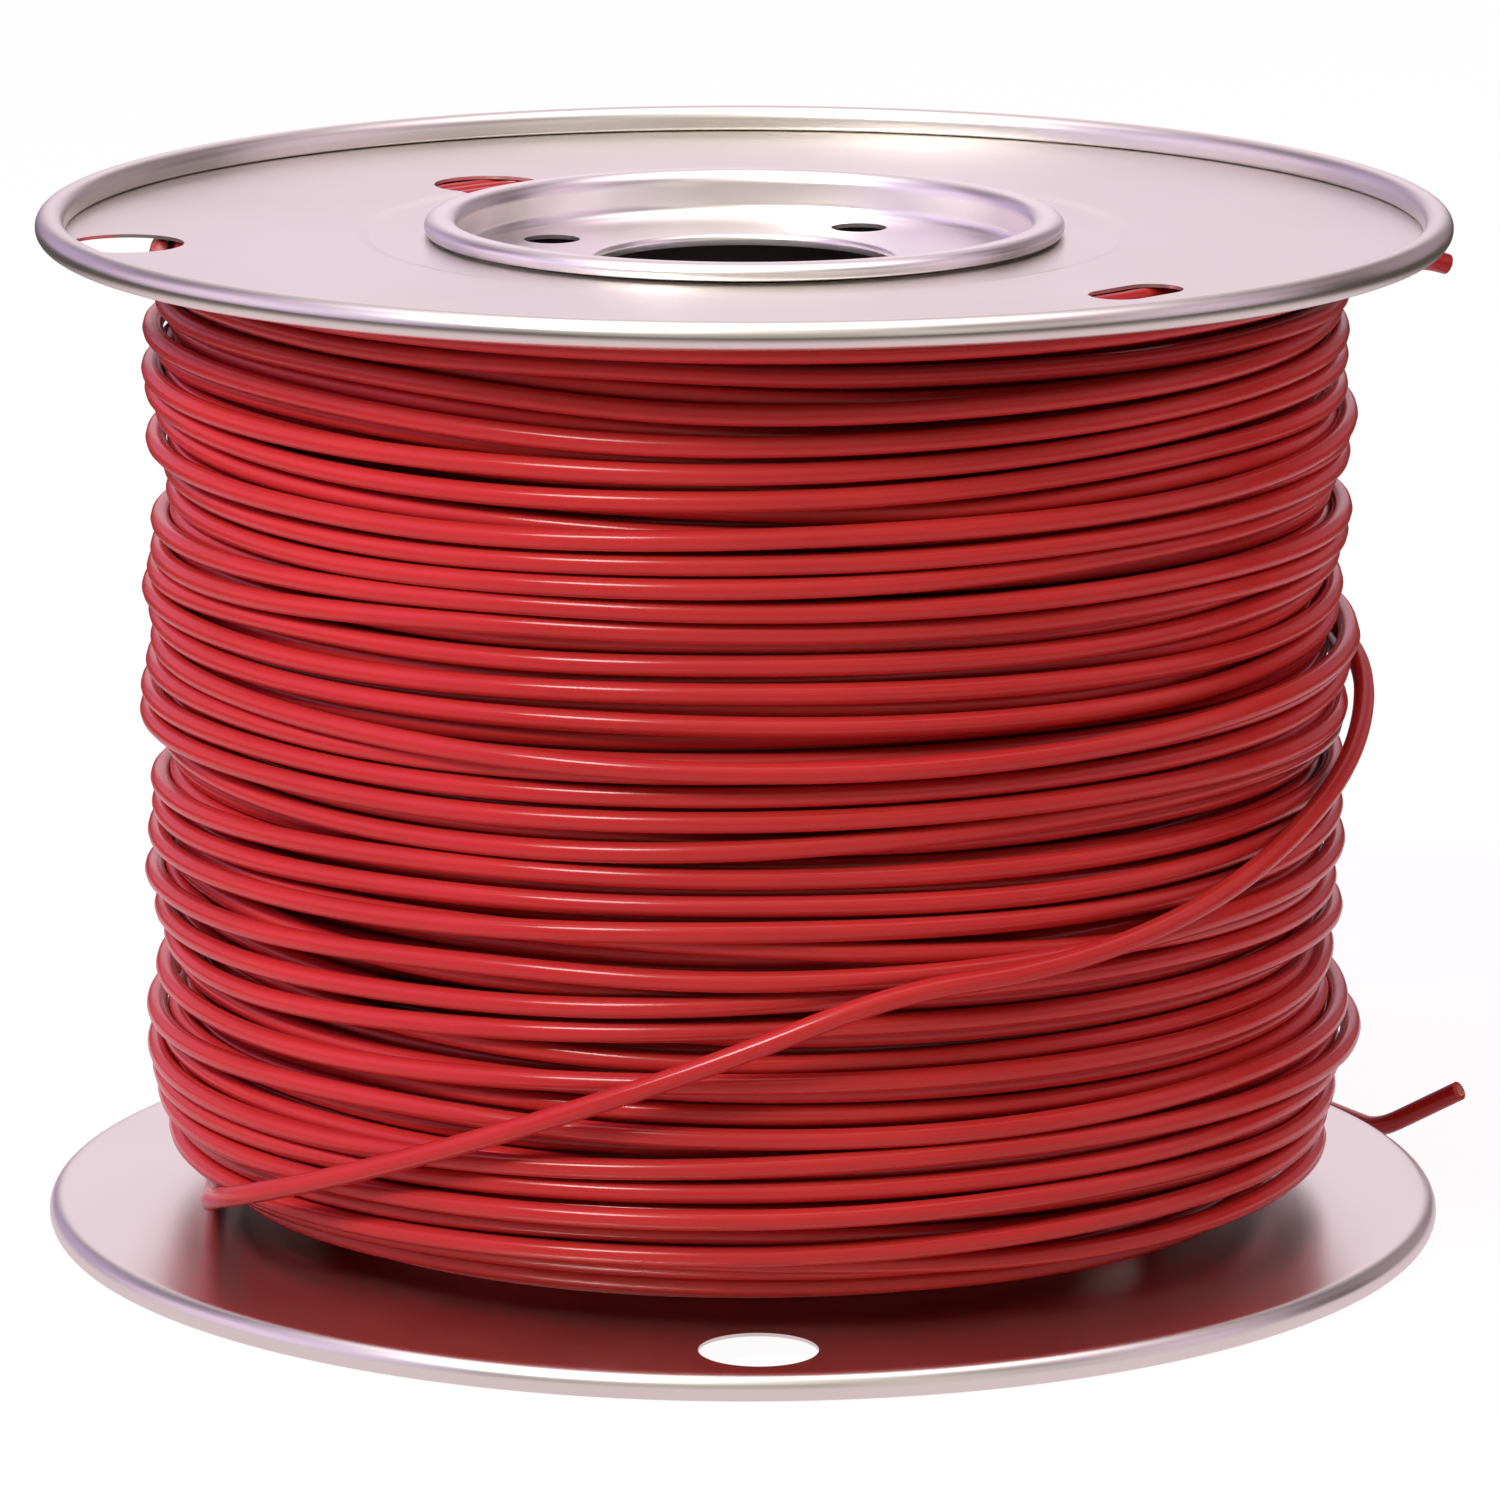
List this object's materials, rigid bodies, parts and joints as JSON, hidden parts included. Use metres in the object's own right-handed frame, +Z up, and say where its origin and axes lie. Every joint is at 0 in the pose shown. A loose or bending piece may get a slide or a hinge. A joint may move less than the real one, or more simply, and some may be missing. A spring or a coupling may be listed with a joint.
{
  "type": "wire spool",
  "caption": "Steel spool with rolled-rim flanges, seamed barrel and recessed arbor plates, wound full of red insulated wire with one strand springing loose.",
  "frame": {"origin": "on the spool's axis, level with the lowest point of the bottom rim", "axes": "+Z up along the spool's axis; -Y is the side that the picture shows; +X is to the right there"},
  "size_m": [0.1707, 0.1698, 0.1211],
  "materials": {
    "spool_steel": "bright plated sheet",
    "wire_insulation": "semi-gloss red insulation"
  },
  "bodies": {
    "root": {"top_flange": "spool_steel", "bottom_flange": "spool_steel", "barrel": "spool_steel", "top_arbor_plate": "spool_steel", "bottom_arbor_plate": "spool_steel", "wire_winding": "wire_insulation", "wire_tail": "wire_insulation", "wire_start": "wire_insulation"}
  },
  "joints": []
}
